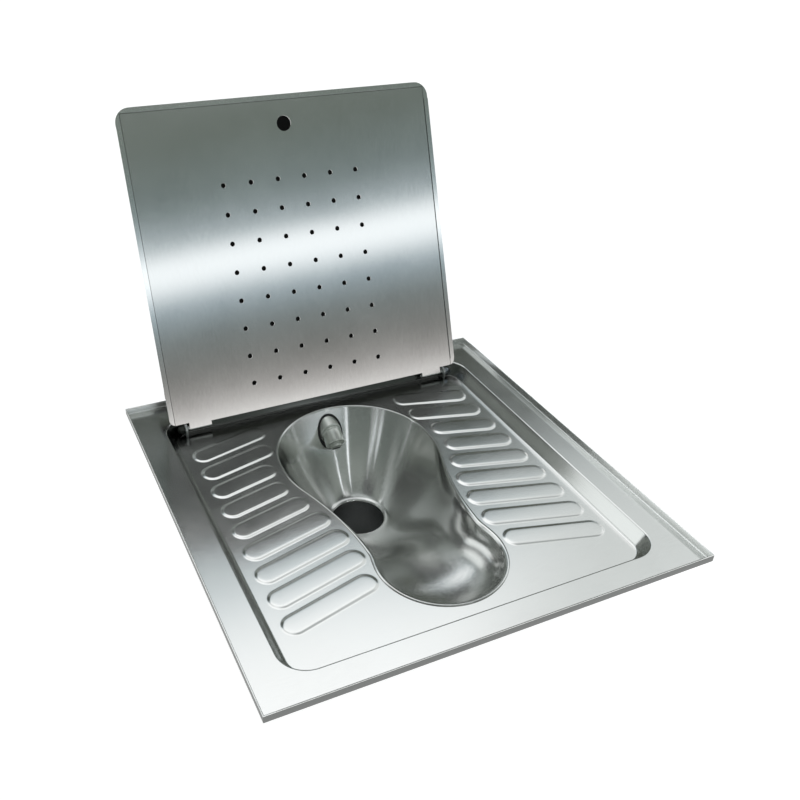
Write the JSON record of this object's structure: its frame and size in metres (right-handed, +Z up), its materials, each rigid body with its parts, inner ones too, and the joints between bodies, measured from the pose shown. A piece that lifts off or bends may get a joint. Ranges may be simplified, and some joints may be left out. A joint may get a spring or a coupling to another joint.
{
  "type": "squat toilet",
  "caption": "Pressed steel squat toilet pan with foot ribs, funnel bowl, flush spout and a hinged perforated cover that lies flush in the tray.",
  "frame": {"origin": "centre of the pan, level with the rim's underside, which rests on the finished floor", "axes": "+X to the right of someone who faces the cover, +Y to the hinge and the flush spout, +Z up"},
  "size_m": [0.56, 0.6684, 0.6034],
  "materials": {
    "brushed_deck": "fine satin grain, side to side",
    "polished_bowl": "drawn and polished, soft mirror",
    "brushed_cover": "fine satin grain, up and down",
    "plain_steel": "mill finish",
    "bright_steel": "turned, bright",
    "nut_steel": "plain, slightly blue",
    "spout_steel": "bead blasted, matt",
    "galvanised_support": "galvanised, dull grey",
    "rubber": "matt black"
  },
  "bodies": {
    "pan": {"pan_deck": "brushed_deck", "bowl": "polished_bowl", "outlet_tube": "plain_steel", "outlet_collar": "plain_steel", "hinge_bracket_left": "plain_steel", "hinge_bracket_right": "plain_steel", "flush_tube": "plain_steel", "spout_grommet": "rubber", "spout_collar": "bright_steel", "spout_body": "spout_steel", "spout_nozzle": "spout_steel", "foot_support_left": "galvanised_support", "foot_support_right": "galvanised_support", "anchor_studs": "nut_steel"},
    "cover": {"cover_panel": "brushed_cover", "cover_knuckle_left": "brushed_cover", "cover_knuckle_right": "brushed_cover", "hinge_pin_left": "bright_steel", "hinge_pin_right": "bright_steel", "hinge_washers_left": "bright_steel", "hinge_washers_right": "bright_steel", "dome_nut_left": "nut_steel", "dome_nut_right": "nut_steel"}
  },
  "joints": [
    {"name": "cover_hinge", "type": "hinge", "parent": "pan", "child": "cover", "pos_m": [0, 0.229, -0.0076], "axis": [1, 0, 0], "range_deg": [0, 111]}
  ]
}
